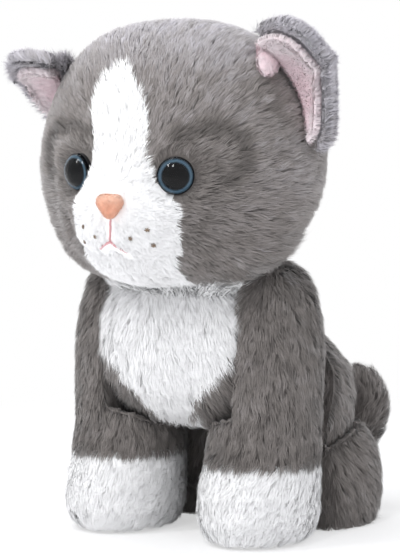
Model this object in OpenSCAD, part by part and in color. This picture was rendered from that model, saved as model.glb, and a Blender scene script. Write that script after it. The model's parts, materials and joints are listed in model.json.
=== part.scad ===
// Sitting plush kitten: grey fur fabric with a white face blaze, muzzle, bib and front paws.
// The kitten faces -Y, its left side is +X, and it sits on the plane Z = 0.

/* [Plush] */
// Thickness of the fur fabric: backing and pile together
fabric_t = 6; // [4:0.5:8]
// Gap between soft pieces that move against each other
soft_gap = 0.4; // [0.3:0.1:0.8]

/* [Head] */
// Half the head's width
head_half_w = 60; // [56:1:64]
// Half the head's depth, without the muzzle
head_half_d = 46; // [43:1:50]
// Half the head's height
head_half_h = 53; // [50:1:55]
// Height of the head's centre above the floor
head_z = 160; // [159:1:164]
// How far the head's centre lies in front of the shoulders
head_forward = 11; // [8:1:15]
// Turn of the head towards its left at rest, in degrees
head_turned = 5; // [0:1:8]
// How far the muzzle stands out of the face
muzzle_out = 15; // [10:1:16]
// How far the cheeks stand out
cheek_out = 5; // [3:1:6]
// Radius of the stuffed neck that the head turns on
neck_r = 26; // [24:1:27]

/* [Eyes and nose] */
// Diameter of the plastic eyes
eye_d = 15; // [12:0.5:16]
// Distance between the eye centres
eye_spacing = 44; // [42:1:48]
// Height of the eyes below the head's centre
eye_drop = 7; // [5:1:11]
// How deep the eyes are drawn into the fur
eye_sink = 2.5; // [0:0.5:3]
// Diameter of the pupil
pupil_d = 10.5; // [7:0.5:11]
// Height of the clear dome over the eye
eye_dome_h = 4.5; // [3:0.5:6]
// Diameter of the shanks behind the eyes and the nose
shank_d = 5; // [4:0.5:6]
// Diameter of the locking washers on the shanks
washer_d = 16; // [12:0.5:18]
// Width of the nose
nose_w = 12; // [9:0.5:14]
// Height of the nose
nose_h = 10; // [8:0.5:12]

/* [Ears] */
// Width of an ear at its root
ear_w = 55; // [50:1:58]
// Length of an ear from root to tip
ear_l = 27; // [24:1:32]
// Thickness of an ear's grey back
ear_back_t = 5; // [4:0.5:6]
// Thickness of an ear's pink lining
ear_lining_t = 2; // [1.5:0.5:3]
// How deep an ear is cupped
ear_cup = 8; // [4:1:10]
// Lean of the raised left ear away from upright, in degrees
left_ear_lean = 62; // [46:1:66]
// Lean of the lowered right ear away from upright, in degrees
right_ear_lean = 82; // [70:1:88]
// How far the left ear bends forward from its root, in degrees
left_ear_bend = 12; // [0:1:14]
// Width of the grey rim round an ear's lining
ear_rim = 5.5; // [3:0.5:7]

/* [Front legs] */
// Distance between the front legs' centre lines
leg_spacing = 66; // [64:1:70]
// Half the thickness of a front leg
leg_r = 24; // [22:0.5:24.5]
// Height of the shoulder joint above the floor
shoulder_z = 86; // [84:1:88]
// Distance from the seat's centre forward to the shoulders
shoulder_forward = 46; // [44:1:48]
// Height of the white sock
sock_h = 34; // [28:1:40]
// Length of a front paw from heel to toe
paw_l = 59; // [54:1:60]

/* [Torso] */
// Radius of the chest about the shoulder joints
chest_r = 40; // [38:1:42]
// Width of the chest between the front legs
chest_w = 62; // [56:1:64]
// Diameter of the flat seat under the rump
seat_d = 36; // [28:1:38]

/* [Tail] */
// Thickness of the tail
tail_d = 26; // [20:1:28]

/* [Hidden] */
$fn = 48;
// Side of a cutting block, larger than the kitten
block = 300;

GREY = "#8f8a8c";
WHITE = "#f5f5f8";
PINK = "#ecc8d0";
FILL = "#f4f1e6";

// ---------------------------------------------------------------- shared shapes

function unit(v) = v / norm(v);
function sum(v, i = 0) = i >= len(v) ? 0 : v[i] + sum(v, i + 1);

// A smooth curve through the list p, with t from 0 to len(p) - 1.
function curve(p, t) =
    let (i = min(floor(t), len(p) - 2), f = t - i,
         a = p[max(i - 1, 0)], b = p[i], c = p[i + 1], d = p[min(i + 2, len(p) - 1)])
    0.5 * (2 * b + (c - a) * f + (2 * a - 5 * b + 4 * c - d) * f * f + (3 * b - a - 3 * c + d) * f * f * f);
function curve_points(p, steps) = [for (j = [0 : steps]) curve(p, (len(p) - 1) * j / steps)];

// Triangles that close m rings of n points between two pole points.
function tube_faces(n, m) =
    let (top = 1 + n * m)
    concat(
        [for (i = [0 : n - 1]) [0, 1 + i, 1 + (i + 1) % n]],
        [for (j = [0 : m - 2]) for (i = [0 : n - 1])
            let (a = 1 + j * n + i, b = 1 + j * n + (i + 1) % n)
            each [[a, a + n, b], [b, a + n, b + n]]],
        [for (i = [0 : n - 1]) let (k = 1 + (m - 1) * n) [top, k + (i + 1) % n, k + i]]);

// A stuffed shape is an ellipsoid of half sizes r with swellings [direction, height, spread in degrees].
function swelling(d, s) = s[1] * exp(-pow(acos(min(1, d * unit(s[0]))) / s[2], 2) / 2);
function stuffed_r(d, r, swellings) =
    1 / norm([d.x / r.x, d.y / r.y, d.z / r.z]) + sum([for (s = swellings) swelling(d, s)]);
module stuffed(r, swellings, n, inset = 0) {
    m = n / 2 - 1;
    directions = concat(
        [[0, 0, -1]],
        [for (j = [1 : m]) for (i = [0 : n - 1])
            let (up = -90 + 180 * j / (m + 1), round = 360 * i / n)
            [cos(up) * cos(round), cos(up) * sin(round), sin(up)]],
        [[0, 0, 1]]);
    polyhedron([for (d = directions) d * (stuffed_r(d, r, swellings) - inset)], tube_faces(n, m));
}

// A stuffed tube through sections [x, y, z, half width, half depth in front, half depth behind].
module lofted(sections, n, m, inset = 0) {
    rings = curve_points(sections, m - 1);
    function centre(s) = [s[0], s[1], s[2]];
    points = concat(
        [centre(rings[0])],
        [for (s = rings) for (i = [0 : n - 1])
            let (a = 360 * i / n, half_d = sin(a) < 0 ? s[4] : s[5])
            centre(s) + [max(2, s[3] - inset) * cos(a), max(2, half_d - inset) * sin(a), 0]],
        [centre(rings[m - 1])]);
    polyhedron(points, tube_faces(n, m));
}

// A piece of the left side, or its mirror image for the right side.
module on_side(side) {
    if (side < 0) mirror([1, 0, 0]) children();
    else children();
}

// A symmetric outline [half width, height] in the XZ plane, pushed through from y_from to y_to.
module front_prism(outline, y_from, y_to, steps = 16) {
    half = curve_points(outline, steps);
    back = [for (j = [steps : -1 : 0]) [-half[j].x, half[j].y]];
    translate([0, y_to, 0]) rotate([90, 0, 0]) linear_extrude(y_to - y_from) polygon(concat(half, back));
}

module below(z) { translate([-block / 2, -block / 2, z - block]) cube(block); }
module in_front(y) { translate([-block / 2, y - block, -block / 2]) cube(block); }

// ---------------------------------------------------------------- torso

shoulder_y = -shoulder_forward;
neck_at = [0, shoulder_y - 8, 119];
torso_top = neck_at.z - 16;
tail_root = [0, 28, 24];

// The torso leans forward from the seat at the origin to the shoulders.
torso_sections = [
    [0, 0, 0, 32, 20, 26],
    [0, 0.04 * shoulder_y, 10, 39, 19, 32],
    [0, 0.13 * shoulder_y, 30, 45, 26, 34],
    [0, 0.26 * shoulder_y, 48, 49, 52, 41],
    [0, 0.43 * shoulder_y, 66, 51, 62, 46],
    [0, 0.74 * shoulder_y, 84, 43, 54, 41],
    [0, 0.91 * shoulder_y, 96, 38, 44, 32],
    [0, shoulder_y, torso_top, 29, 34, 24]
];
// A core stands half the fabric above the floor and ends one fabric below the top of its cover.
function core(sections, top) = [for (s = sections)
    [s[0], s[1], fabric_t / 2 + s[2] * (top - 1.5 * fabric_t) / top, s[3], s[4], s[5]]];

// The front legs hang before the plane wall_y, clear of it when they swing.
leg_y = shoulder_y - 5;
toe_y = leg_y - 31;
wall_y = max(shoulder_y + leg_r + 0.6, toe_y + paw_l - 1.4) + soft_gap;

// The space in front of the torso where the front legs stand and swing, grown by the fabric for the core.
module leg_space(grow = 0) {
    difference() {
        in_front(wall_y + grow);
        translate([-chest_w / 2 + grow, shoulder_y, shoulder_z])
            rotate([0, 90, 0]) cylinder(r = chest_r - grow, h = chest_w - 2 * grow, $fn = 72);
    }
}

module neck_space() { translate(neck_at) sphere(neck_r + soft_gap); }
module tail_space() { translate(tail_root) sphere(tail_d / 2 + 2 + soft_gap); }

module torso_outside() {
    difference() {
        lofted(torso_sections, 28, 13);
        leg_space();
        neck_space();
        tail_space();
    }
}

module torso_inside() {
    difference() {
        lofted(core(torso_sections, torso_top), 14, 8, fabric_t);
        leg_space(fabric_t);
        neck_space();
        tail_space();
    }
}

// The bib as [share of the chest's width, height above the shoulders].
bib_shape = [[0.42, 26], [0.47, 12], [0.48, 0], [0.42, -10], [0.31, -20], [0.16, -32], [0.01, -43]];
bib_outline = [for (p = bib_shape) [p.x * chest_w, shoulder_z + p.y]];
module bib_prism() front_prism(bib_outline, shoulder_y - 1.5 * chest_r, shoulder_y);

module seat_disc(clear = 0) {
    translate([0, 0, -clear]) cylinder(d = seat_d, h = fabric_t / 2 + clear);
}

module body_cover() {
    color(GREY) difference() {
        torso_outside();
        torso_inside();
        bib_prism();
        seat_disc(1);
    }
}

module bib_panel() {
    color(WHITE) intersection() {
        difference() {
            torso_outside();
            torso_inside();
        }
        bib_prism();
    }
}

module seat_panel() { color(GREY) seat_disc(); }

// The pellet bag lies above the seat and weighs the rump down.
bag_sections = [
    [0, 0, 8, 20, 10, 9],
    [0, 0, 11, 26, 13, 12],
    [0, -1, 19, 28, 13, 13],
    [0, -1, 27, 25, 12, 12],
    [0, -1, 30, 18, 10, 9]
];
module bag() lofted(bag_sections, 16, 6);

module body_stuffing() {
    color(FILL) difference() {
        torso_inside();
        bag();
    }
}

module pellet_bag() { color("#d9cfb8") bag(); }

// ---------------------------------------------------------------- haunches

haunch_at = [32, -2, 16];
haunch_half = [24, 31, 36];

module haunch(side, n, inset) {
    difference() {
        on_side(side) translate(haunch_at) stuffed(haunch_half, [], n, inset);
        lofted(torso_sections, 28, 13);
        in_front(wall_y + inset);
        below(inset / 2);
    }
}

module haunch_cover(side) {
    color(GREY) difference() {
        haunch(side, 20, 0);
        haunch(side, 12, fabric_t);
    }
}

module haunch_stuffing(side) { color(FILL) haunch(side, 12, fabric_t); }

// ---------------------------------------------------------------- neck

module neck_cover() {
    color(GREY) translate(neck_at) difference() {
        sphere(neck_r);
        sphere(neck_r - fabric_t);
    }
}

module neck_stuffing() { color(FILL) translate(neck_at) sphere(neck_r - fabric_t); }

// ---------------------------------------------------------------- head

head_at = [0, shoulder_y - head_forward, head_z];
head_half = [head_half_w, head_half_d, head_half_h];
chin_out = 0.45 * muzzle_out;
head_swellings = [
    [[0, -1, -0.45], muzzle_out, 20],
    [[0, -0.75, -0.9], chin_out, 20],
    [[0.75, -0.66, -0.5], cheek_out, 27],
    [[-0.75, -0.66, -0.5], cheek_out, 27]
];

module in_head() translate(head_at) rotate([0, 0, head_turned]) children();

// The Y of the face, from the head's centre, at x and z from the head's centre.
function face_y(x, z, y = -head_half_d, tries = 8) =
    tries == 0 ? y :
    let (d = [x, y, z])
    face_y(x, z, y * stuffed_r(unit(d), head_half, head_swellings) / norm(d), tries - 1);

module head_outside() {
    difference() {
        in_head() stuffed(head_half, head_swellings, 32);
        neck_space();
    }
}

module head_inside() {
    difference() {
        in_head() stuffed(head_half, head_swellings, 18, fabric_t);
        neck_space();
    }
}

chin_z = -43;
face_outline = [
    [1, 39], [10, 32], [14, 20], [12.5, 4], [14, -7], [21, -14],
    [27, -23], [28.5, -33], [26, -42], [25, -50], [10, -62]
];
module face_prism() in_head() front_prism(face_outline, -90, -20, 20);
module chin_block() in_head() translate([-40, -100, chin_z - 40]) cube([80, 95, 40]);

module head_shell() {
    difference() {
        head_outside();
        head_inside();
    }
}

module head_cover() {
    color(GREY) difference() {
        head_shell();
        face_prism();
        eye_space(1);
        eye_space(-1);
        ear_space(1);
        ear_space(-1);
    }
}

module face_panel() {
    color(WHITE) difference() {
        intersection() {
            head_shell();
            face_prism();
        }
        chin_block();
        eye_space(1);
        eye_space(-1);
        nose_space();
    }
}

module chin_panel() {
    color(WHITE) intersection() {
        head_shell();
        face_prism();
        chin_block();
    }
}

module head_stuffing() {
    color(FILL) difference() {
        head_inside();
        eye_space(1);
        eye_space(-1);
        ear_space(1);
        ear_space(-1);
        nose_space();
    }
}

// ---------------------------------------------------------------- eyes

// A moulded piece stands in a pocket of the fabric with its own +Z looking out. Its back is back_t deep, and
// its shank goes through a locking washer behind the fabric. sink is how deep the fur takes it in.
back_t = 1.5;
washer_t = 2;
fit = 0.2;
function washer_depth(sink) = fabric_t - sink + 2 * back_t;
function shank_l(sink) = washer_depth(sink) + 2 * washer_t;

module pocket(d, sink) {
    translate([0, 0, -back_t]) cylinder(d = d + 2 * fit, h = d + washer_t);
    translate([0, 0, -shank_l(sink) - fit]) cylinder(d = shank_d + 2 * fit, h = shank_l(sink) + fit);
    translate([0, 0, -washer_depth(sink) - washer_t - fit])
        cylinder(d = washer_d + 2 * fit, h = washer_t + 2 * fit);
}

module shank(sink) { translate([0, 0, -shank_l(sink)]) cylinder(d = shank_d, h = shank_l(sink) - back_t); }

module washer(sink) {
    translate([0, 0, -washer_depth(sink) - washer_t]) difference() {
        cylinder(d = washer_d, h = washer_t);
        translate([0, 0, -1]) cylinder(d = shank_d + fit, h = washer_t + 2);
    }
}

eye_turn = 26;
eye_tilt = 4;
eye_at = [eye_spacing / 2, face_y(eye_spacing / 2, -eye_drop) + eye_sink, -eye_drop];

module eye_place(side) {
    in_head() on_side(side) translate(eye_at) rotate([90 + eye_tilt, 0, eye_turn]) children();
}

module eye_space(side) { eye_place(side) pocket(eye_d, eye_sink); }

module eye_shank(side) {
    color("#17181b") eye_place(side) {
        translate([0, 0, -back_t]) cylinder(d = eye_d, h = back_t);
        shank(eye_sink);
    }
}

module eye_iris(side) {
    color("#4f6675") eye_place(side) difference() {
        cylinder(d = eye_d, h = 1);
        translate([0, 0, -1]) cylinder(d = pupil_d, h = 3);
    }
}

module eye_pupil(side) { color("#111216") eye_place(side) cylinder(d = pupil_d, h = 1); }

// The dome is a slice of a ball: its rim is as wide as the eye and its top eye_dome_h above the iris.
dome_r = (pow(eye_d / 2, 2) + pow(eye_dome_h, 2)) / (2 * eye_dome_h);
module eye_dome(side) {
    color("#c9d4da", 0.5) eye_place(side) translate([0, 0, 1]) intersection() {
        translate([0, 0, eye_dome_h - dome_r]) sphere(dome_r);
        cylinder(d = eye_d, h = eye_dome_h + 1);
    }
}

module eye_washer(side) { color("#e8e8e4") eye_place(side) washer(eye_sink); }

// ---------------------------------------------------------------- nose

nose_drop = 19;
nose_at = [0, face_y(0, -nose_drop), -nose_drop];
module nose_place() { in_head() translate(nose_at) rotate([90, 0, 0]) children(); }

module nose_space() { nose_place() pocket(nose_w, 0); }

// The nose is a rounded triangle, widest at the top, on a shank.
nose_round = 3.2;
module nose() {
    color("#f2ae8f") nose_place() {
        intersection() {
            hull() {
                for (side = [-1, 1])
                    translate([side * (nose_w / 2 - nose_round), nose_h / 2 - nose_round, 1])
                        sphere(nose_round, $fn = 20);
                translate([0, nose_round - nose_h / 2, 1]) sphere(nose_round, $fn = 20);
            }
            translate([-nose_w, -nose_w, -back_t]) cube(2 * nose_w);
        }
        shank(0);
    }
}

module nose_washer() { color("#e8e8e4") nose_place() washer(0); }

// ---------------------------------------------------------------- ears

// An ear's own +Z runs from its root to its tip, its width lies along X and its cup opens to -Y.
ear_bead_r = 4;
ear_bead_l = ear_w * 0.64;
ear_forward = 18;
// Where each ear is sewn on, in degrees above the head's centre, and its turn about its own length.
left_ear_up = 27;
right_ear_up = 28;
left_ear_twist = 14;
right_ear_twist = 58;

module ear_place(side) {
    left = side > 0;
    up = left ? left_ear_up : right_ear_up;
    lean = left ? left_ear_lean : right_ear_lean;
    twist = left ? left_ear_twist : right_ear_twist;
    bend = left ? left_ear_bend : 0;
    direction = [cos(up), -0.04, sin(up)];
    root = direction * (stuffed_r(unit(direction), head_half, head_swellings) + 0.5);
    in_head() on_side(side) translate(root) rotate([0, 0, -ear_forward]) rotate([0, lean, 0])
        rotate([0, 0, twist]) rotate([bend, 0, 0]) children();
}

module ear_space(side) {
    ear_place(side) rotate([0, 90, 0])
        cylinder(r = ear_bead_r + soft_gap, h = ear_bead_l + 2 * soft_gap, center = true);
}

// A cupped leaf between the depths front and back, n cells across and m cells long, that starts at root.
module ear_leaf(front, back, w, l, root, n = 10, m = 6) {
    row = n + 1;
    size = row * (m + 1);
    function half(v) = w / 2 * pow(max(0.002, 1 - pow(v, 2.2)), 0.6);
    function leaf(u, v, depth) = [
        u * half(v),
        depth - ear_cup * u * u * (1 - 0.5 * v),
        root + (l - root) * v];
    function sheet(depth) = [for (j = [0 : m]) for (i = [0 : n]) leaf(-1 + 2 * i / n, j / m, depth)];
    function quad(a, b, c, d) = [[a, c, b], [a, d, c]];
    faces = concat(
        [for (j = [0 : m - 1]) for (i = [0 : n - 1]) let (a = j * row + i)
            each quad(a, a + 1, a + row + 1, a + row)],
        [for (j = [0 : m - 1]) for (i = [0 : n - 1]) let (a = size + j * row + i)
            each quad(a, a + row, a + row + 1, a + 1)],
        [for (i = [0 : n - 1]) each quad(i, size + i, size + i + 1, i + 1)],
        [for (i = [0 : n - 1]) let (a = m * row + i) each quad(a, a + 1, size + a + 1, size + a)],
        [for (j = [0 : m - 1]) let (a = j * row) each quad(a, a + row, size + a + row, size + a)],
        [for (j = [0 : m - 1]) let (a = j * row + n) each quad(a, size + a, size + a + row, a + row)]);
    polyhedron(concat(sheet(front), sheet(back)), faces);
}

module ear_back(side) {
    color(GREY) ear_place(side) {
        ear_leaf(-ear_back_t / 2, ear_back_t / 2, ear_w, ear_l, 3);
        rotate([0, 90, 0]) cylinder(r = ear_bead_r, h = ear_bead_l, center = true);
    }
}

module ear_lining(side) {
    color(PINK) ear_place(side) difference() {
        ear_leaf(-ear_back_t / 2 - ear_lining_t, -ear_back_t / 2, ear_w - 2 * ear_rim, ear_l - ear_rim, 4);
        rotate([0, 90, 0]) cylinder(r = ear_bead_r, h = ear_bead_l, center = true);
    }
}

// ---------------------------------------------------------------- front legs

leg_x = leg_spacing / 2;
leg_top = shoulder_z + 25;
leg_sections = [
    [leg_x, toe_y + paw_l / 2, 0, 19, paw_l / 2 - 6, paw_l / 2 - 7],
    [leg_x, toe_y + paw_l / 2, 8, leg_r + 0.5, paw_l / 2, paw_l / 2 - 2],
    [leg_x, toe_y + paw_l / 2 + 1, 22, leg_r + 0.5, paw_l / 2, paw_l / 2 - 3],
    [leg_x, leg_y + 2, 38, leg_r - 0.5, leg_r, leg_r],
    [leg_x, leg_y + 3, 60, leg_r, leg_r, leg_r - 1],
    [leg_x, shoulder_y - 1, shoulder_z, leg_r, leg_r, leg_r],
    [leg_x, shoulder_y - 1, shoulder_z + 14, leg_r - 2, leg_r - 5, leg_r - 2],
    [leg_x - 1, shoulder_y - 1, leg_top - 3, leg_r - 8, leg_r - 11, leg_r - 9],
    [leg_x - 2, shoulder_y - 1, leg_top, 8, 6, 7]
];

// The round of the chest that the leg hangs against.
module chest_space(grow = 0) {
    r = chest_r + soft_gap + grow;
    x = chest_w / 2 + soft_gap + grow;
    translate([-x, shoulder_y, shoulder_z]) rotate([0, 90, 0]) cylinder(r = r, h = 2 * x, $fn = 72);
}

module leg_outside() {
    difference() {
        lofted(leg_sections, 22, 13);
        chest_space();
    }
}

module leg_inside() {
    difference() {
        lofted(core(leg_sections, leg_top), 12, 8, fabric_t);
        chest_space(fabric_t);
    }
}

module leg_shell() {
    difference() {
        leg_outside();
        leg_inside();
    }
}

module leg_cover(side) {
    color(GREY) on_side(side) difference() {
        leg_shell();
        below(sock_h);
    }
}

module paw_cover(side) {
    color(WHITE) on_side(side) intersection() {
        leg_shell();
        below(sock_h);
    }
}

module leg_stuffing(side) { color(FILL) on_side(side) leg_inside(); }

// ---------------------------------------------------------------- tail

tail_path = [
    tail_root + [0, -2, 0], tail_root + [8, 11.5, 1], tail_root + [18, 19, 8],
    tail_root + [23, 20, 20], tail_root + [21, 19, 35]
];

module tail_tube(n, m, inset) {
    points = curve_points(tail_path, m);
    function along(j) = unit(points[min(j + 1, m)] - points[max(j - 1, 0)]);
    rings = [for (j = [0 : m]) for (i = [0 : n - 1])
        let (t = along(j), side = unit(cross([1, 0, 0], t)), up = cross(t, side),
             r = (tail_d / 2 - inset) * sqrt(max(0.03, 1 - pow(j / m, 6))))
        points[j] + r * (cos(360 * i / n) * side + sin(360 * i / n) * up)];
    polyhedron(concat([points[0]], rings, [points[m] - along(m) * inset]), tube_faces(n, m + 1));
}

module tail_outside() {
    tail_tube(12, 12, 0);
    translate(tail_root) sphere(tail_d / 2 + 2);
}

module tail_cover() {
    color(GREY) difference() {
        tail_outside();
        tail_tube(8, 6, fabric_t - 1);
    }
}

module tail_stuffing() { color(FILL) tail_tube(8, 6, fabric_t - 1); }

// ---------------------------------------------------------------- pieces

body_cover();
bib_panel();
seat_panel();
body_stuffing();
pellet_bag();
haunch_cover(1);  // left_haunch_cover
haunch_stuffing(1);  // left_haunch_stuffing
haunch_cover(-1);  // right_haunch_cover
haunch_stuffing(-1);  // right_haunch_stuffing
neck_cover();
neck_stuffing();
head_cover();
face_panel();
chin_panel();
head_stuffing();
eye_dome(1);  // left_eye_dome
eye_iris(1);  // left_eye_iris
eye_pupil(1);  // left_eye_pupil
eye_shank(1);  // left_eye_shank
eye_washer(1);  // left_eye_washer
eye_dome(-1);  // right_eye_dome
eye_iris(-1);  // right_eye_iris
eye_pupil(-1);  // right_eye_pupil
eye_shank(-1);  // right_eye_shank
eye_washer(-1);  // right_eye_washer
nose();
nose_washer();
ear_back(1);  // left_ear_back
ear_lining(1);  // left_ear_lining
ear_back(-1);  // right_ear_back
ear_lining(-1);  // right_ear_lining
leg_cover(1);  // left_leg_cover
paw_cover(1);  // left_paw_cover
leg_stuffing(1);  // left_leg_stuffing
leg_cover(-1);  // right_leg_cover
paw_cover(-1);  // right_paw_cover
leg_stuffing(-1);  // right_leg_stuffing
tail_cover();
tail_stuffing();
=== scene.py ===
# %% [markdown]
# # A sitting plush kitten
#
# The kitten is a stuffed toy: knitted fur fabric sewn over fibre fill, with moulded plastic eyes. What the
# eye reads is the pile, the thousands of soft fibres that stand up from the fabric, so most of this lesson
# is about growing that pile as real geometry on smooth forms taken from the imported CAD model.

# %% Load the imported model
import json
import math

import bmesh
import bpy
import numpy as np
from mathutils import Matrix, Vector, noise
from mathutils.kdtree import KDTree


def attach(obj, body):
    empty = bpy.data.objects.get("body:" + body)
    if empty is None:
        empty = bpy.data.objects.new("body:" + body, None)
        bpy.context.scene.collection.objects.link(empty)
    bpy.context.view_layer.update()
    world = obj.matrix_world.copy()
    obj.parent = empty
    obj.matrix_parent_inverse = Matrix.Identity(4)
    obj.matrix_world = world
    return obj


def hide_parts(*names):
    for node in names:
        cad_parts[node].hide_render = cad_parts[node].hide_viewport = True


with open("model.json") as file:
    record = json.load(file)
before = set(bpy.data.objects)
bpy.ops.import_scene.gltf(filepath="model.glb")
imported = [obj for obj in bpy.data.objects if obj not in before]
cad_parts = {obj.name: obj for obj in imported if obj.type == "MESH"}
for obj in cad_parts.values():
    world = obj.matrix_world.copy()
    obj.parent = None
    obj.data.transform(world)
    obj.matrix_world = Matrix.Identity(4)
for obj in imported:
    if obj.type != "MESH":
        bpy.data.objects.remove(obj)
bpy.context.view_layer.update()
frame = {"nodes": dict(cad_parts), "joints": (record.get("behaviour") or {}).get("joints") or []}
MM = 0.001  # the arrays below are in millimetres, and Blender's meshes in metres

# %% [markdown]
# ## Camera
#
# The toy was photographed with a long lens, a little above its chest and 33 degrees round from its front.
# A long lens far away keeps near and far paws almost the same size, as in the picture. The lens shift puts
# the toy where it stands in the frame without turning the camera.

# %% Camera
AZIMUTH, ELEVATION, DISTANCE = 33.0, 6.0, 1.3
TARGET = Vector((0.0, -0.038, 0.110))
LONG_SIDE, FOCAL_PX = 554, 3120  # the picture's long side, and the focal length in its pixels
SENSOR = 36  # the sensor's width in mm
SHIFT_PX = (11, 11)  # how far the target lies from the picture's centre, right and up


def in_scene(name, data):
    """A new object of the scene."""
    made = bpy.data.objects.new(name, data)
    bpy.context.scene.collection.objects.link(made)
    return made


def seen_from(azimuth, elevation):
    """The direction from the toy to something that stands round it, in degrees."""
    azimuth, elevation = math.radians(azimuth), math.radians(elevation)
    return Vector((math.sin(azimuth) * math.cos(elevation), -math.cos(azimuth) * math.cos(elevation),
                   math.sin(elevation)))


away = seen_from(AZIMUTH, ELEVATION)
camera = in_scene("camera", bpy.data.cameras.new("camera"))
camera.location = TARGET + away * DISTANCE
camera.rotation_euler = (-away).to_track_quat("-Z", "Y").to_euler()
camera.data.sensor_width = SENSOR
camera.data.lens = SENSOR * FOCAL_PX / LONG_SIDE
camera.data.shift_x = -SHIFT_PX[0] / LONG_SIDE
camera.data.shift_y = -SHIFT_PX[1] / LONG_SIDE
camera.data.clip_start, camera.data.clip_end = 0.05, 20
bpy.context.scene.camera = camera
print("camera at", tuple(round(c, 3) for c in camera.location), "lens", round(camera.data.lens, 1))

# %% [markdown]
# ## Colours and shader nodes
#
# Colours are written as the hex codes that a paint program shows, so one function turns them into the
# linear numbers that a shader wants. Another adds a node, fills its sockets and links whatever other
# sockets it is given, and the rest are short names for the nodes that several materials share.


# %% Helpers for materials
def paint(code):
    """The linear colour of a hex code such as "8a8f92"."""
    parts = [int(code[i:i + 2], 16) / 255 for i in (0, 2, 4)]
    return (*[p / 12.92 if p <= 0.04045 else ((p + 0.055) / 1.055) ** 2.4 for p in parts], 1.0)


def fill(tree, node, inputs):
    for name, value in inputs.items():
        if isinstance(value, bpy.types.NodeSocket):
            tree.links.new(value, node.inputs[name])
        else:
            node.inputs[name].default_value = value


def add(tree, kind, inputs=None, **settings):
    made = tree.nodes.new("ShaderNode" + kind)
    for name, value in settings.items():
        setattr(made, name, value)
    fill(tree, made, inputs or {})
    return made


def new_material(name):
    """A material with one Principled shader: its tree and shader come back too."""
    material = bpy.data.materials.new(name)
    material.use_nodes = True
    tree = material.node_tree
    return material, tree, tree.nodes["Principled BSDF"]


def ramp(tree, factor, stops):
    made = add(tree, "ValToRGB", {"Fac": factor})
    elements = made.color_ramp.elements
    while len(elements) < len(stops):
        elements.new(0.5)
    for element, (place, code) in zip(elements, stops):
        element.position = place
        element.color = paint(code)
    return made.outputs["Color"]


def grains(tree, size, detail=2.0):
    """Soft noise that stays with the piece, its grains size metres across."""
    place = add(tree, "TexCoord").outputs["Object"]
    return add(tree, "TexNoise", {"Vector": place, "Scale": 1 / size, "Detail": detail}).outputs["Fac"]


def remap(tree, value, source, target=(0.0, 1.0), **settings):
    names = ("Value", "From Min", "From Max", "To Min", "To Max")
    return add(tree, "MapRange", dict(zip(names, (value, *source, *target))), **settings).outputs["Result"]


def maths(tree, operation, *values):
    return add(tree, "Math", dict(enumerate(values)), operation=operation).outputs["Value"]


def vectors(tree, operation, *values, output="Vector"):
    return add(tree, "VectorMath", dict(enumerate(values)), operation=operation).outputs[output]


def mixed(tree, share, first, second):
    return add(tree, "MixShader", {0: share, 1: first, 2: second}).outputs["Shader"]


print("white paint is", paint("ffffff"))

# %% [markdown]
# ## The forms under the pile
#
# Fur fabric is cut in panels, sewn inside out, turned and filled. The CAD model holds those stuffed forms as
# plain faceted solids whose outside is where the tips of the pile end. Sculpting them again by hand would
# lose their places, so each form is taken from its CAD nodes: Voxel Remesh melts the nodes of one form into
# a single closed skin, smoothing takes the facets out, and then the skin sinks by the height of the pile,
# which gives the fabric that the fibres grow from.

# %% Reading and making meshes


def arrays_of(mesh):
    """A mesh's points, in mm, and its triangles."""
    mesh.calc_loop_triangles()
    points = np.empty(len(mesh.vertices) * 3)
    mesh.vertices.foreach_get("co", points)
    triangles = np.empty(len(mesh.loop_triangles) * 3, np.int64)
    mesh.loop_triangles.foreach_get("vertices", triangles)
    return points.reshape(-1, 3) / MM, triangles.reshape(-1, 3)


def together(parts):
    """Several pairs of points and triangles as one."""
    points, triangles, start = [], [], 0
    for more, faces in parts:
        points.append(more)
        triangles.append(faces + start)
        start += len(more)
    return np.concatenate(points), np.concatenate(triangles)


def joined(nodes):
    """The points and triangles of some CAD nodes together."""
    return together(arrays_of(frame["nodes"][name].data) for name in nodes)


def as_mesh(name, points, triangles):
    """A Blender mesh from arrays of points in mm and triangles."""
    mesh = bpy.data.meshes.new(name)
    mesh.vertices.add(len(points))
    mesh.vertices.foreach_set("co", (points * MM).astype(np.float32).ravel())
    mesh.loops.add(3 * len(triangles))
    mesh.loops.foreach_set("vertex_index", triangles.astype(np.int32).ravel())
    mesh.polygons.add(len(triangles))
    mesh.polygons.foreach_set("loop_start", np.arange(0, 3 * len(triangles), 3, dtype=np.int32))
    mesh.polygons.foreach_set("use_smooth", np.ones(len(triangles), bool))
    mesh.update(calc_edges=True)
    return mesh


def largest_shell(points, triangles):
    """The part of a mesh that hangs together and holds the most points."""
    label = np.arange(len(points))
    while True:
        low = label[triangles].min(1)
        new = label.copy()
        for corner in range(3):
            np.minimum.at(new, triangles[:, corner], low)
        new = new[new]
        if (new == label).all():
            break
        label = new
    names, counts = np.unique(label, return_counts=True)
    keep = label == names[counts.argmax()]
    number = np.cumsum(keep) - 1
    return points[keep], number[triangles[keep[triangles[:, 0]]]]


def melted(nodes, voxel):
    """One closed skin round some CAD nodes, by Voxel Remesh. voxel is in mm."""
    lump = in_scene("lump", as_mesh("lump", *joined(nodes)))
    remesh = lump.modifiers.new("remesh", "REMESH")
    remesh.mode, remesh.voxel_size = "VOXEL", voxel * MM
    shell = arrays_of(lump.evaluated_get(bpy.context.evaluated_depsgraph_get()).to_mesh())
    bpy.data.objects.remove(lump)
    return largest_shell(*shell)


# %% From CAD nodes to smooth skins


def unit(rows):
    return rows / np.maximum(np.linalg.norm(rows, axis=-1, keepdims=True), 1e-9)


def crossed(points, triangles):
    """Each triangle's normal, twice as long as its area."""
    a, b, c = (points[triangles[:, i]] for i in range(3))
    return np.cross(b - a, c - a)


def edges_of(triangles):
    return np.concatenate([triangles[:, [0, 1]], triangles[:, [1, 2]], triangles[:, [2, 0]]])


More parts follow.
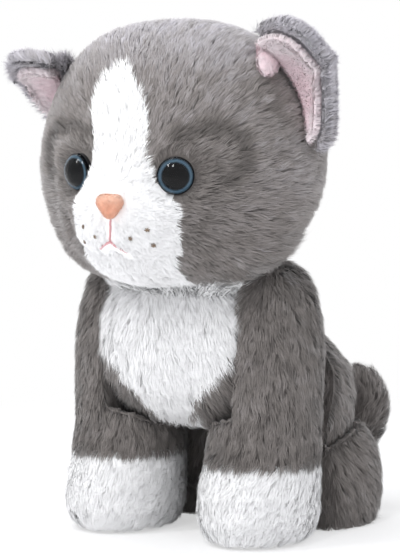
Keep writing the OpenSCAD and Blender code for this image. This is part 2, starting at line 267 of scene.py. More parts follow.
def normals_of(points, triangles):
    face = crossed(points, triangles)
    total = np.zeros_like(points)
    for corner in range(3):
        np.add.at(total, triangles[:, corner], face)
    return unit(total)


def facing_out(points, triangles):
    """The triangles of a closed form, turned over if they face its inside."""
    out = ((points - points.mean(0)) * normals_of(points, triangles)).sum() > 0
    return triangles if out else triangles[:, ::-1]


def smoothed(points, triangles, rounds):
    """Each round pulls every point towards the middle of its neighbours, then pushes it back as far and a
    little more, which takes the bumps out and leaves the size."""
    ends = edges_of(triangles)
    ends = np.concatenate([ends, ends[:, ::-1]])
    count = np.bincount(ends[:, 0], minlength=len(points))[:, None]
    for _ in range(rounds):
        for pull in (0.5, -0.53):
            total = np.stack([np.bincount(ends[:, 0], points[ends[:, 1], axis], len(points))
                              for axis in range(3)], 1)
            points = points + pull * (total / count - points)
    return points


def sunk(outer, triangles, depth):
    """A skin a depth in mm below an outer form. Its normals are those of the outer form."""
    normals = normals_of(outer, triangles)
    points = smoothed(outer - normals * np.reshape(depth, (-1, 1)), triangles, 3)
    return {"points": points, "triangles": triangles, "normals": normals_of(points, triangles)}


def skin(nodes, voxel, depth, rounds=12, shape=None):
    """The fabric of a form: its CAD nodes melted, reshaped if asked, smoothed and sunk. depth is a number
    or a function of the points."""
    points, triangles = melted(nodes, voxel)
    points = smoothed(points if shape is None else shape(points), triangles, rounds)
    return sunk(points, triangles, depth(points) if callable(depth) else np.full(len(points), depth))


def area_of(form):
    return np.linalg.norm(crossed(form["points"], form["triangles"]), axis=1).sum() / 2


# %% [markdown]
# The head is one smooth ball with swellings for muzzle, chin and cheeks, so it needs no melting: the same
# formula as in the CAD source shapes an icosphere, whose even triangles suit a round form better than a
# sphere with poles does. Four more swellings give the pile's own fullness at jaw and crown.

# %% The head's own frame and form
HEAD_AT, HEAD_TURN = np.array([0.0, -57.0, 160.0]), math.radians(5)
HEAD_HALF = np.array([60.0, 46.0, 53.0])
SWELLINGS = (  # direction, height in mm and spread in degrees
    ((0, -1, -0.45), 15, 20),
    ((0, -0.75, -0.9), 6.75, 20),
    ((0.75, -0.66, -0.5), 5, 27),
    ((-0.75, -0.66, -0.5), 5, 27),
    ((0.6, -0.36, -0.75), 5, 12),  # from here on the pile's own fullness, at jaw and crown
    ((-0.6, -0.36, -0.75), 5, 12),
    ((0.55, -0.35, 0.76), 3.5, 16),
    ((-0.55, -0.35, 0.76), 3.5, 16),
)
NECK_AT, NECK_R = np.array([0.0, -54.0, 119.0]), 26.4
turn = np.array([[math.cos(HEAD_TURN), -math.sin(HEAD_TURN), 0],
                 [math.sin(HEAD_TURN), math.cos(HEAD_TURN), 0], [0, 0, 1]])


def in_head(points):
    """Points in the head's own frame, whose origin is the head's centre and whose -Y is its face."""
    return (points - HEAD_AT) @ turn


def from_head(points):
    return points @ turn.T + HEAD_AT


def head_radius(directions):
    radius = 1 / np.linalg.norm(directions / HEAD_HALF, axis=1)
    for way, height, spread in SWELLINGS:
        angle = np.degrees(np.arccos(np.clip(directions @ unit(np.array(way, float)), -1, 1)))
        radius = radius + height * np.exp(-((angle / spread) ** 2) / 2)
    return radius


def step(x, low, high):
    """0 below low, 1 above high, and a smooth change between."""
    t = np.clip((x - low) / (high - low), 0, 1)
    return t * t * (3 - 2 * t)


def bump(distance, width):
    """1 at no distance, falling off smoothly over about width."""
    return np.exp(-((distance / width) ** 2))


def from_line(points, line):
    """The distance of flat points from a line through some corners."""
    line = np.array(line, float)
    nearest = np.full(len(points), np.inf)
    for start, end in zip(line[:-1], line[1:]):
        along = end - start
        share = np.clip((points - start) @ along / (along @ along), 0, 1)
        nearest = np.minimum(nearest, np.linalg.norm(points - start - share[:, None] * along, axis=1))
    return nearest


# %% [markdown]
# Stitches that run through the stuffed head draw its fabric in. The mouth thread pulls a groove down the
# muzzle, the muzzle's seam leaves a crease above the chin, a fold runs over each brow, and the eyes are
# pulled back by their washers, so the fabric rises round each of them.

# %% Grooves of the face, in the head's own frame (across, up)
MOUTH_TOP, MOUTH = (-0.9, -24.5), (-2.2, -33.6)
MOUTH_ENDS = ((-8.2, -37.0), (3.4, -38.4))
CREASE = ((0, -39.6), (8, -40.4), (15, -40.2), (22, -38.6), (26.5, -34), (28.5, -27))
LOBES = ((11.5, -30.5), (-11.5, -30.5))  # the middles of the muzzle's two halves
BROW = ((19, 6.5), (24, 8.5), (30, 9.2), (36, 8.4), (40.5, 5.2), (42.2, 0.5), (40.8, -4.5), (37, -9.5))
EYES, EYE_R = {}, 7.5
for side in ("left", "right"):
    pupil = joined([f"{side}_eye_pupil"])[0].mean(0)
    washer = joined([f"{side}_eye_washer"])[0].mean(0)
    EYES[side] = (pupil, unit(pupil - washer))


def drawn_in(points):
    """How far the stitches draw the head's outside in, in mm."""
    local = in_head(points)
    flat, mirrored = local[:, [0, 2]], np.stack([np.abs(local[:, 0]), local[:, 2]], 1)
    front = step(-local[:, 1], 20, 34)
    mouth = 1.5 * bump(from_line(flat, (MOUTH_TOP, MOUTH)), 1.9)
    for end in MOUTH_ENDS:
        mouth = np.maximum(mouth, 0.9 * bump(from_line(flat, (MOUTH, end)), 1.6))
    depth = mouth + 2.0 * bump(from_line(mirrored, CREASE), 2.2)
    depth += 1.1 * bump(from_line(mirrored, BROW), 3.0)
    for lobe in LOBES:
        depth -= 1.3 * bump(np.linalg.norm(flat - lobe, axis=1), 8)
    for middle, axis in EYES.values():
        offset = points - middle
        far = np.linalg.norm(offset - (offset @ axis)[:, None] * axis, axis=1)
        depth += 1.2 * bump(far - EYE_R, 2.2) - 0.8 * bump(far - EYE_R - 6, 3)
    return depth * front


def head_outside(directions):
    """The outside of the head along some directions, hollowed where the neck's ball goes in."""
    points = from_head(directions * head_radius(directions)[:, None])
    points = points - unit(points - HEAD_AT) * drawn_in(points)[:, None]
    out = points - NECK_AT
    far = np.linalg.norm(out, axis=1, keepdims=True)
    return np.where(far < NECK_R, NECK_AT + out / far * NECK_R, points)


ball = bpy.data.meshes.new("ball")
maker = bmesh.new()
bmesh.ops.create_icosphere(maker, subdivisions=6, radius=1)
maker.to_mesh(ball)
maker.free()
directions, head_triangles = arrays_of(ball)
head_outer = head_outside(unit(directions))
print("head skin:", len(head_outer), "points; eyes at",
      {side: np.round(in_head(at[0][None])[0], 1).tolist() for side, at in EYES.items()})

# %% [markdown]
# ## Growing the pile
#
# Blender's hair particles would draw fibres only in a render. Here the fibres are mesh, so the fur is there
# for any tool that reads the model. Each fibre stands for a small lock of the real pile, whose single hairs
# of 0.02 mm are far too fine to show: a thin tapered blade, a quarter of a millimetre wide, that rises from
# the fabric and bends over in the direction in which the fur is brushed. Pile clings together in tufts, so
# fibres of one tuft share a swirl, a tone and the way they lean.

# %% Where fibres stand


def scatter(form, count, random):
    """Random places on a skin, even by area, with the skin's normal at each."""
    points, triangles = form["points"], form["triangles"]
    area = np.linalg.norm(crossed(points, triangles), axis=1)
    chosen = random.choice(len(triangles), count, p=area / area.sum())
    u, v = random.random(count), random.random(count)
    over = u + v > 1
    u[over], v[over] = 1 - u[over], 1 - v[over]
    share = np.stack([1 - u - v, u, v], 1)[:, :, None]
    corners = triangles[chosen]
    return (points[corners] * share).sum(1), unit((form["normals"][corners] * share).sum(1))


def mottle(points, size, seed):
    """Soft random patches from -1 to 1, about size mm across."""
    shift = Vector((seed * 7.3, seed * 3.1, seed * 5.7))
    return np.array([noise.noise(Vector(p) / size + shift) for p in points.tolist()])


def tree_of(points):
    tree = KDTree(len(points))
    for number, point in enumerate(points):
        tree.insert(point, number)
    tree.balance()
    return tree


def in_tufts(places, density, size, random):
    """Picks some fibres as leaders, about size mm apart: the leaders, and the number of each fibre's own."""
    leaders = random.choice(len(places), max(1, int(len(places) / density / size ** 2)), replace=False)
    tree = tree_of(places[leaders])
    return leaders, np.array([tree.find(p)[1] for p in places.tolist()])


# %% [markdown]
# A guard keeps fibres off something that is set into the fur, such as an eye: none grow under it, and those
# round it are short and brushed away from it.

# %% Fibres round something set into the fur
GUARD_DEPTH = 14  # how far along its axis a guard works, in mm
PUSHED, CUT = 3, 0.5  # how strongly fibres beside a guard are brushed away, and how much of them is cut


def guarded(places, ways, tall, guards):
    """Applies guards (centre, axis, radius, reach) to fibres: who stays, and their new combing and height."""
    stays = np.ones(len(places), bool)
    for centre, axis, radius, reach in guards:
        offset = places - centre
        depth = offset @ axis
        outward = offset - depth[:, None] * axis
        far = np.linalg.norm(outward, axis=1)
        near = np.abs(depth) < GUARD_DEPTH
        stays &= ~(near & (far < radius))
        push = np.where(near, 1 - step(far, radius, radius + reach), 0)
        ways = ways + outward / np.maximum(far, 1e-6)[:, None] * PUSHED * push[:, None]
        tall = tall * (1 - CUT * push)
    return stays, ways, tall


# %% Fibres over a skin
BEND = 16  # degrees that the lower half of a fibre stands steeper, and the upper half flatter
TUFT_STRAY, FIBRE_STRAY = 11, 8  # how far tufts and single fibres stray from the combing, in degrees
TUFT_LEAN, FIBRE_LEAN, LEANS = 5, 6, (20, 80)  # the same for their lean, and the least and most lean
HEIGHTS = (0.82, 1.06)  # of single fibres, as shares of the pile's height
ROOTED = 0.6  # how deep a fibre starts in the fabric, in mm
TUFT_SHINE, FIBRE_SHINE = 0.16, 0.10  # how unevenly tufts and fibres face the light
TUFT_TONE, FIBRE_TONE = 0.06, 0.08  # how much their tones differ


def grow(form, density, comb, height, random, inside=None, guards=(), tuft=3.0, gather=0.14, width=0.28,
         lean=64, floor=0.3, ripple=1.0):
    """Fibres over a skin, density to the square mm: five points for each, with normals, root and tone."""
    places, normals = scatter(form, int(area_of(form) * density), random)
    if inside is not None:
        kept = inside(places)
        places, normals = places[kept], normals[kept]
    ways, tall = comb(places), height(places) * random.uniform(*HEIGHTS, len(places))
    stays, ways, tall = guarded(places, ways, tall, guards)
    places, normals, ways, tall = places[stays], normals[stays], ways[stays], tall[stays]
    leaders, own = in_tufts(places, density, tuft, random)
    count, tufts = len(places), len(leaders)

    along = ways - (ways * normals).sum(1)[:, None] * normals
    along = unit(along + 0.02 * np.cross(normals, random.normal(size=(count, 3))))
    side = np.cross(along, normals)
    stray = np.radians(random.normal(0, TUFT_STRAY, tufts)[own] + random.normal(0, FIBRE_STRAY, count))
    along = along * np.cos(stray)[:, None] + side * np.sin(stray)[:, None]
    side = np.cross(along, normals)
    leaning = lean + random.normal(0, TUFT_LEAN, tufts)[own] + random.normal(0, FIBRE_LEAN, count)
    angle = np.radians(np.clip(leaning, *LEANS))
    bend = math.radians(BEND)
    half = np.minimum(tall / np.cos(angle) / math.cos(bend) / 2, 1.25 * tall)
    first, last = (half[:, None] * (normals * np.cos(a)[:, None] + along * np.sin(a)[:, None])
                   for a in (angle - bend, angle + bend))
    bends, tips = places + first, places + first + last
    leader = leaders[own]
    bends = bends + 0.4 * gather * (bends[leader] - bends)
    tips = tips + gather * (tips[leader] - tips)

    turned = np.radians(random.uniform(-30, 30, count))[:, None]
    across = side * np.cos(turned) + np.cross(unit(tips - places), side) * np.sin(turned)
    wide = across * width * random.uniform(0.8, 1.2, (count, 1)) / 2
    root = places - ROOTED * normals
    blades = np.stack([root - wide, root + wide, bends - 0.8 * wide, bends + 0.8 * wide, tips], 1)
    blades[:, :, 2] = np.maximum(blades[:, :, 2], floor)
    uneven = TUFT_SHINE * random.normal(size=(tufts, 3))[own] + FIBRE_SHINE * random.normal(size=(count, 3))
    facing = unit(normals + ripple * uneven)
    lighter = random.normal(0, TUFT_TONE, tufts)[own] + random.normal(0, FIBRE_TONE, count)
    return {"blades": blades, "roots": places, "facing": facing, "lighter": lighter}


# %% [markdown]
# A piece of fur is one mesh: a skin and its fibres. The normals of the fibres are set to those of the form
# below them, because real pile is so fine and see-through that light passes among its hairs, and it shades
# like one soft surface. It carries two maps. Fibre holds each fibre's tone and the height along it, for the
# shader, and OFBake gives every fibre a small cell of its own for a baked colour.

# %% A patch of fabric, its maps and its mesh
STRIP = 0.1  # the share of the baked picture that the skin takes


def patch(form, inside, thick=1.2, proud=0.2):
    """A closed piece of fabric: the part of a skin that lies inside a region, a little proud of the skin."""
    points, triangles = form["points"], form["triangles"]
    chosen = triangles[inside(points[triangles].mean(1))]
    used, flat = np.unique(chosen, return_inverse=True)
    chosen = flat.reshape(-1, 3)
    top = points[used] + proud * form["normals"][used]
    low = top - thick * form["normals"][used]
    n = len(used)
    edges = edges_of(chosen)
    codes, back = edges[:, 0] * n + edges[:, 1], edges[:, 1] * n + edges[:, 0]
    rim = edges[~np.isin(back, codes)]
    wall = np.concatenate([
        np.stack([rim[:, 1], rim[:, 0], rim[:, 0] + n], 1),
        np.stack([rim[:, 1], rim[:, 0] + n, rim[:, 1] + n], 1),
    ])
    return np.concatenate([top, low]), np.concatenate([chosen, chosen[:, ::-1] + n, wall])


def boxed(points, triangles, cell):
    """Map coordinates of a skin's corners, each face seen from the side it faces, in one strip of the map."""
    low, high = points.min(0), points.max(0) + 1e-6
    normal = crossed(points, triangles)
    axis = np.abs(normal).argmax(1)
    box = axis * 2 + (normal[np.arange(len(axis)), axis] > 0)
    scaled = (points[triangles] - low) / (high - low)
    others = np.array([[1, 2], [0, 2], [0, 1]])[axis]
    rows = np.arange(len(triangles))[:, None]
    flat = np.stack([scaled[rows, [0, 1, 2], others[:, :1]], scaled[rows, [0, 1, 2], others[:, 1:]]], 2)
    return np.stack([(box[:, None] + 0.05 + 0.9 * flat[:, :, 0]) / 6, cell * (0.05 + 0.9 * flat[:, :, 1])], 2)


def cells(roots):
    """Map coordinates of the fibres' corners: rows of small cells above the skin's strip."""
    count = len(roots)
    cell = np.empty(count, int)
    cell[np.lexsort((roots[:, 0], np.round(roots[:, 2] / 4)))] = np.arange(count)
    columns = int(math.ceil(math.sqrt(max(count, 1) / (1 - STRIP))))
    rows = int(math.ceil(count / columns))
    corner = np.stack([cell % columns / columns, STRIP + (1 - STRIP) * (cell // columns) / rows], 1)
    size = np.array([1 / columns, (1 - STRIP) / rows])
    spread = np.array([[[0.1, 0], [0.9, 0], [0.9, 0.55]], [[0.1, 0], [0.9, 0.55], [0.1, 0.55]],
                       [[0.1, 0.55], [0.9, 0.55], [0.5, 0.98]]])
    return (corner[:, None, None] + spread[None] * size).reshape(-1, 3, 2)


def dress(name, skin_points, skin_triangles, fur, tone, material):
    """One piece: a skin and its fibres."""
    count, base = len(fur["blades"]), len(skin_triangles)
    start = len(skin_points) + 5 * np.arange(count)[:, None]
    fans = start[:, :, None] + np.array([[0, 1, 3], [0, 3, 2], [2, 3, 4]])[None]
    points = np.concatenate([skin_points, fur["blades"].reshape(-1, 3)])
    triangles = np.concatenate([skin_triangles, fans.reshape(-1, 3)])
    mesh = as_mesh(name, points, triangles)
    normals = np.concatenate([normals_of(skin_points, skin_triangles), np.repeat(fur["facing"], 5, 0)])
    mesh.attributes.new("custom_normal", "FLOAT_VECTOR", "POINT").data.foreach_set(
        "vector", normals.astype(np.float32).ravel())
    along = np.array([[0, 0, 0.55], [0, 0.55, 0.55], [0.55, 0.55, 1]])
    fibre = np.empty((len(triangles), 3, 2))
    fibre[:base, :, 0] = np.clip(tone(skin_points), 0, 1)[skin_triangles]
    fibre[:base, :, 1] = 0.15
    fibre[base:, :, 0] = np.repeat(np.clip(tone(fur["roots"]) + fur["lighter"], 0, 1), 3)[:, None]
    fibre[base:, :, 1] = np.tile(along, (count, 1))
    mesh.uv_layers.new(name="Fibre").data.foreach_set("uv", fibre.ravel())
    bake = np.concatenate([boxed(skin_points, skin_triangles, STRIP), cells(fur["roots"])])
    mesh.uv_layers.new(name="OFBake").data.foreach_set("uv", bake.ravel())
    mesh.materials.append(material)
    print(f"{name}: {count} fibres, {len(triangles)} faces")
    return in_scene(name, mesh)


# %% One call for a furry piece


def furry(name, form, region, tone, material, seed, skin_part=None, **growing):
    """Fibres over the region of a form, with the form or a part of it as their fabric."""
    random = np.random.default_rng(seed)
    fur = grow(form, random=random, inside=region, **growing)
    points, triangles = (form["points"], form["triangles"]) if skin_part is None else skin_part
    return dress(name, points, triangles, fur, tone, material)


def finish_piece(piece, body, nodes):
    """Puts a piece on its body in place of CAD nodes."""
    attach(piece, body)
    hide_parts(*nodes)


def same(height):
    return lambda points: np.full(len(points), float(height))


# %% [markdown]
# ## Fur fabric
#
# The toy's fabric is polyester plush: a knitted ground with a cut pile, sheared to one height. Polyester
# fibre is translucent and slightly shiny, so the pile looks pale at its tips, where light gets in, and dark
# at its roots. The map made with the fibres gives both numbers that the shader needs: how far up the fibre
# a point is, and the tone of that lock. A sheen of soft fuzz lightens the edge of the form.

# %% Plush in three colours
GREYS = ("6f6a67", "8a8480", "a29c9a", "bab6b8", "d6d3da")
WHITES = ("faf9f8", "fdfdfd", "ffffff")
PINKS = ("f2d2da", "fce8ed", "fff6f8")
LIT_FROM = 0.8  # how far up a fibre the shade of its neighbours ends
PATCH = 3 * MM  # dye takes unevenly from lock to lock, in patches about 3 mm wide


def plush(name, shades, root_shade, sheen):
    """Cut polyester pile: shades are hex codes from the darkest lock to the lightest, root_shade how much
    of the light is left at the foot of the pile."""
    material, tree, shader = new_material(name)
    fibre = add(tree, "UVMap", uv_map="Fibre").outputs["UV"]
    parts = add(tree, "SeparateXYZ", {"Vector": fibre}).outputs
    colour = ramp(tree, parts["X"], [(i / (len(shades) - 1), c) for i, c in enumerate(shades)])
    patches = remap(tree, grains(tree, PATCH), (0.3, 0.7), (0.93, 1.06))
    light = maths(tree, "MULTIPLY", patches, remap(tree, parts["Y"], (0.0, LIT_FROM), (root_shade, 1.0)))
    final = add(tree, "VectorMath", {0: colour, "Scale": light}, operation="SCALE").outputs["Vector"]
    fill(tree, shader, {"Base Color": final, "Roughness": 0.8, "Specular IOR Level": 0.2,
                        "Sheen Weight": sheen, "Sheen Roughness": 0.5})
    return material


grey_plush = plush("polyester_plush_grey", GREYS, 0.7, 0.3)
white_plush = plush("polyester_plush_white", WHITES, 0.98, 0.15)
pink_plush = plush("polyester_velboa_pink", PINKS, 0.92, 0.15)
print("plush:", grey_plush.name, white_plush.name, pink_plush.name)

# %% [markdown]
# ## The head
#
# The grey cover and the white face panel are two fabrics. The seam between them is drawn as the panel's
# left and right edge at each height, with the blaze a little towards the kitten's right, as it was sewn and
# brushed. The pile is shortest round the nose and longest on the cheeks, and it grows away from the nose,
# as the fur of a real cat does. The grey cover is sewn from a left and a right half.

# %% Where the face panel lies
FACE_EDGES = np.array([  # height in the head's frame, right edge, left edge, in mm
    (-60, -9, 9), (-50, -19, 17), (-44, -21, 17), (-38, -22, 20), (-32, -21, 22.5), (-26, -20, 23),
    (-20, -20, 24), (-15, -18.5, 20.5), (-10, -15.5, 16), (-5, -13, 12), (0, -13, 9), (6, -15.5, 8),
    (13, -18.5, 6.5), (19, -19.5, 3.5), (25, -18.5, -0.5), (30, -16, -4.5), (34, -12, -8.5),
])


def on_face(points):
    local = in_head(points)
    right, left = (np.interp(local[:, 2], FACE_EDGES[:, 0], FACE_EDGES[:, i]) for i in (1, 2))
    inside = (local[:, 0] > right) & (local[:, 0] < left) & (local[:, 2] < FACE_EDGES[-1, 0])
    return inside & (local[:, 1] < 0)


# %% How the head's pile lies, how long it is and how dark, with painted shade and painted light
NOSE = np.array([0.0, -60.0, -19.0])
NOSE_BASE = joined(["nose_washer"])[0].mean(0)
NOSE_AXIS = unit(from_head(np.array([[0.0, -100.0, -19.0]]))[0] - NOSE_BASE)


def cheek(local):
    return step(np.abs(local[:, 0]), 22, 46) * step(-local[:, 2], -6, 24) * step(-local[:, 1], -34, 0)


def jaw(local):
    return step(-local[:, 2], 26, 40) * step(local[:, 1], -30, -8)


def head_pile(points):
    local = in_head(points)
    muzzle = np.linalg.norm((local - (0, -58, -26)) / (30, 30, 22), axis=1)
    short = 0.5 + 0.5 * step(muzzle, 0.6, 1.5)
    return (2.8 + 1.6 * cheek(local) + 3.5 * jaw(local)) * short


def head_comb(points):
    local = in_head(points)
    away = unit(local - NOSE)
    away[:, 2] -= 0.9 * step(local[:, 1], -25, 25)
    return away @ turn.T


HOLLOW = ((46, 33), (51.5, 25), (55, 16))  # the shaded fur inside the raised ear, (across, up)


def head_tone_shade_and_light(points):
    local = in_head(points)
    flat = np.stack([np.abs(local[:, 0]), local[:, 2]], 1)
    front = step(-local[:, 1], 8, 26)
    # Painted shade: darker along the fold over each brow.
    dark = 0.6 * bump(from_line(flat, BROW), 2.8) * front
    # Painted shade round each eye, where it sits deep in the fur.
    dark += 0.3 * bump(np.linalg.norm(flat - (24, -6), axis=1), 13) * front
    # Painted shade in the hollow under the raised ear.
    dark += 0.5 * bump(from_line(local[:, [0, 2]], HOLLOW), 6) * front
    # Painted shade under the head, where less light falls; the back of the head is darker too.
    dark += 0.16 * step(-local[:, 2], 5, 40) + 0.1 * step(local[:, 1], -20, 20)
    # Painted light: the crown is lighter, where the lamps above and behind light it most.
    light = 0.38 * step(local[:, 2], 20, 52)
    return 0.44 + 0.1 * mottle(points, 9, 1) + 0.07 * mottle(points, 3.5, 2) - dark + light


def white_tone(points):
    return 0.9 + 0.08 * mottle(points, 6, 3)


# %% Head and face
MOUTH_CLEAR = 1.6  # how far the pile keeps from the mouth's thread, in mm
BESIDE_EYE, NEAR_EYE, BEHIND_EYE = 0.8, 8, 1.4  # where the fabric is pressed flat behind an eye, in mm


def off_mouth(points):
    flat = in_head(points)[:, [0, 2]]
    near = from_line(flat, (MOUTH_TOP, MOUTH))
    for end in MOUTH_ENDS:
        near = np.minimum(near, from_line(flat, (MOUTH, end)))
    return near > MOUTH_CLEAR


head_skin = sunk(head_outer, head_triangles,
                 head_pile(head_outer) - 0.3 - cheek(in_head(head_outer)) - 3.2 * jaw(in_head(head_outer)))
for middle, axis in EYES.values():  # under the eyes the fabric lies flat behind the disc
    offset = head_skin["points"] - middle
    height = offset @ axis
    far = np.linalg.norm(offset - height[:, None] * axis, axis=1)
    under = (far < EYE_R + BESIDE_EYE) & (np.abs(height) < NEAR_EYE)
    head_skin["points"] -= np.where(under, np.maximum(height + BEHIND_EYE, 0), 0)[:, None] * axis
HEAD_GUARDS = [(*EYES["left"], EYE_R - 0.4, 4.5), (*EYES["right"], EYE_R - 0.4, 4.5),
               (NOSE_BASE, NOSE_AXIS, 5.0, 4.0)]
for number, (side, sign) in enumerate((("left", 1), ("right", -1))):
    half = furry(f"{side}_head_fur", head_skin, lambda p: ~on_face(p) & (in_head(p)[:, 0] * sign >= 0),
                 head_tone_shade_and_light, grey_plush, 11 + number,
                 patch(head_skin, lambda p: in_head(p)[:, 0] * sign >= 0, thick=2, proud=0), density=3.5,
                 comb=head_comb, height=head_pile, guards=HEAD_GUARDS)
    finish_piece(half, "head", ["head_cover", "head_stuffing"])
face = furry("face_fur", head_skin, lambda p: on_face(p) & off_mouth(p), white_tone, white_plush, 13,
             patch(head_skin, on_face), density=5, comb=head_comb, height=head_pile, guards=HEAD_GUARDS,
             gather=0.05, width=0.26, ripple=0.5)
finish_piece(face, "head", ["face_panel", "chin_panel"])

# %% [markdown]
# ## Torso, haunches and neck
#
# The pile on the back and chest is brushed down. The white bib is a panel of its own, cut to a point
# between the front legs.

# %% Torso
BIB = np.array([  # height, right edge, left edge, in mm
    (46, -2, 1), (52, -6.5, 6), (58, -10.5, 10), (66, -15, 17), (74, -20, 23.5), (80, -26, 27),
    (86, -33, 28.5), (96, -34, 31), (112, -31, 29),
], float)
SLEEK = dict(gather=0.04, lean=76, ripple=0.3)  # white pile is brushed flat and even
BIB_BACK = -50  # the bib lies in front of this
BODY_UNDER, HAUNCH_UNDER, PAW_UNDER = 3.0, 2.0, 3.5  # no pile grows lower: there the toy stands


def on_bib(points):
    right, left = (np.interp(points[:, 2], BIB[:, 0], BIB[:, i], left=0) for i in (1, 2))
    return (points[:, 1] < BIB_BACK) & (points[:, 0] > right) & (points[:, 0] < left)


def over_legs(points):
    """How near the chest's side a point is: there the pile spreads over the groove beside the leg."""
    return step(np.abs(points[:, 0]), 14, 26) * step(-points[:, 1], 44, 56) * step(points[:, 2], 46, 60)


def body_pile(points):
    """Longer beside the legs and along the chest's lower edge, where it hides the grooves."""
    edge = bump(points[:, 2] - 46, 9) * step(-points[:, 1], 40, 55)
    return 3.3 + 1.8 * over_legs(points) + 3.0 * edge


def body_comb(points):
    aside = (0.1 + 0.8 * over_legs(points)) * np.sign(points[:, 0])
    return np.stack([aside, 0.35 * step(points[:, 1], -40, 0), -np.ones(len(points))], 1)


def bib_comb(points):
    """Down, spreading to the sides and over the tops of the legs."""
    return np.stack([0.7 * points[:, 0] / 30, -0.1 * np.ones(len(points)), -np.ones(len(points))], 1)


def body_tone_and_shade(points):
    # Painted shade: the body is darker lower down, towards the floor; towards the back it is lighter. Its
    # grey is darker than the head's, partly its own tone and partly painted shade.
    low = 0.1 * step(-points[:, 2], -70, -20)
    high = 0.1 * step(points[:, 1], -40, 10)
    return 0.22 + 0.14 * mottle(points, 8, 4) + 0.08 * mottle(points, 3.5, 5) - low + high


def chest_up(points):
    """The chest's fabric puffs up below the chin."""
    lift = 5 * step(points[:, 2], 90, 110) * step(-points[:, 1], 48, 62)
    return points + np.stack([0 * lift, -0.3 * lift, lift], 1)


torso_skin = skin(["body_cover", "bib_panel", "seat_panel", "body_stuffing", "pellet_bag"], 1.7, 2.8,
                  shape=chest_up)
grey_body = furry("body_fur", torso_skin, lambda p: ~on_bib(p) & (p[:, 2] > BODY_UNDER), body_tone_and_shade,
                  grey_plush, 21, density=1.6, width=0.36, comb=body_comb, height=body_pile)
finish_piece(grey_body, "torso", ["body_cover", "body_stuffing", "pellet_bag", "seat_panel"])
bib = furry("bib_fur", torso_skin, on_bib, white_tone, white_plush, 22, patch(torso_skin, on_bib),
            density=6, comb=bib_comb, height=body_pile, **SLEEK)
finish_piece(bib, "torso", ["bib_panel"])

# %% Haunches
for number, side in enumerate(("left", "right")):
    nodes = [f"{side}_haunch_cover", f"{side}_haunch_stuffing"]
    haunch = furry(f"{side}_haunch_fur", skin(nodes, 1.7, 2.4), lambda p: p[:, 2] > HAUNCH_UNDER, body_tone_and_shade,
                   grey_plush, 23 + number, density=3.4, comb=body_comb, height=same(3.3))
    finish_piece(haunch, "torso", nodes)

# %% Neck


def neck_front(points):
    return points[:, 1] < NECK_AT[1] + 4


def fuller(points):
    """The pile of head and torso presses the neck's ball into a wide collar."""
    return NECK_AT + (points - NECK_AT) * (1.45, 1.25, 1.0)


def collar_comb(points):
    return np.stack([points[:, 0] / 12, (points[:, 1] - NECK_AT[1]) / 12, -0.7 * np.ones(len(points))], 1)


neck_skin = skin(["neck_cover", "neck_stuffing"], 1.7, 1.0, shape=fuller)
NECK = dict(density=3, comb=collar_comb, height=same(4.6), lean=50)
neck = furry("neck_fur", neck_skin, lambda p: ~neck_front(p), body_tone_and_shade, grey_plush, 25, **NECK)
finish_piece(neck, "neck", ["neck_cover", "neck_stuffing"])
throat = furry("throat_fur", neck_skin, neck_front, white_tone, white_plush, 26, patch(neck_skin, neck_front),
               **NECK)
finish_piece(throat, "neck", ["neck_cover"])

# %% [markdown]
# ## Front legs
#
# Each leg is a tube of grey plush with a white sock sewn on. The pile runs down the leg and then forward
# over the toes. On the inside of the shoulder it is longer and lies towards the chest, over the groove.

# %% Legs and paws
SOCK = 34.0  # the height of the sock's seam, in mm
INNER = 36  # the leg's inner half lies nearer to the middle than this


def on_sock(points):
    return points[:, 2] + 0.8 * mottle(points, 5, 6) < SOCK


def shoulder(points):
    return step(points[:, 2], 90, 108)


def sloped(points):
    """The shoulders slope down from the neck, so the outer side of each leg comes in towards its top."""
    side = np.sign(points[:, 0])
    high = step(points[:, 2], 78, 106)
    inward = 3.5 * high * step(np.abs(points[:, 0]), 24, 54)
    inward += 2.0 * step(INNER - np.abs(points[:, 0]), 0, 14) * step(points[:, 2], 40, 60) * (1 - high)
    return points - np.stack([side * inward, 0 * inward, -5 * high], 1)


def leg_pile(points):
    inner = shoulder(points) * step(INNER - np.abs(points[:, 0]), 0, 16)
    return 2.4 + 0.8 * step(points[:, 2], 15, 40) + 2.0 * inner


def leg_comb(points):
    sock, top = 1 - step(points[:, 2], 25, 45), shoulder(points)
    inward = -np.sign(points[:, 0]) * top * step(INNER - np.abs(points[:, 0]), -6, 12)
    return np.stack([0.9 * inward, -0.9 * sock, -1 + 0.9 * np.abs(inward)], 1)


for number, side in enumerate(("left", "right")):
    nodes = [f"{side}_leg_cover", f"{side}_leg_stuffing", f"{side}_paw_cover"]
    leg_skin = skin(nodes, 1.6, 2.4, shape=sloped)
    leg = furry(f"{side}_leg_fur", leg_skin, lambda p: ~on_sock(p), body_tone_and_shade, grey_plush, 31 + number,
                density=3.8, comb=leg_comb, height=leg_pile)
    finish_piece(leg, f"{side}_leg", nodes[:2])
    paw = furry(f"{side}_paw_fur", leg_skin, lambda p: on_sock(p) & (p[:, 2] > PAW_UNDER), white_tone,
                white_plush, 33 + number, patch(leg_skin, on_sock), density=6, comb=leg_comb, height=leg_pile,
                **SLEEK)
    finish_piece(paw, f"{side}_leg", nodes[2:])

# %% [markdown]
# ## Tail and ears
#
# The tail's pile follows it from root to tip. An ear has a grey back in the long plush and a lining in
# velboa, a pink plush with a pile of little more than a millimetre.

# %% Tail
# The middle of the tail from root to tip, in mm
TAIL = np.array([(0, 26, 24), (8, 39.5, 25), (18, 47, 32), (23, 48, 44), (21, 47, 59)], float)


def tail_comb(points):
    middles = (TAIL[1:] + TAIL[:-1]) / 2
    nearest = np.linalg.norm(points[:, None] - middles[None], axis=2).argmin(1)
    return unit(TAIL[1:] - TAIL[:-1])[nearest]


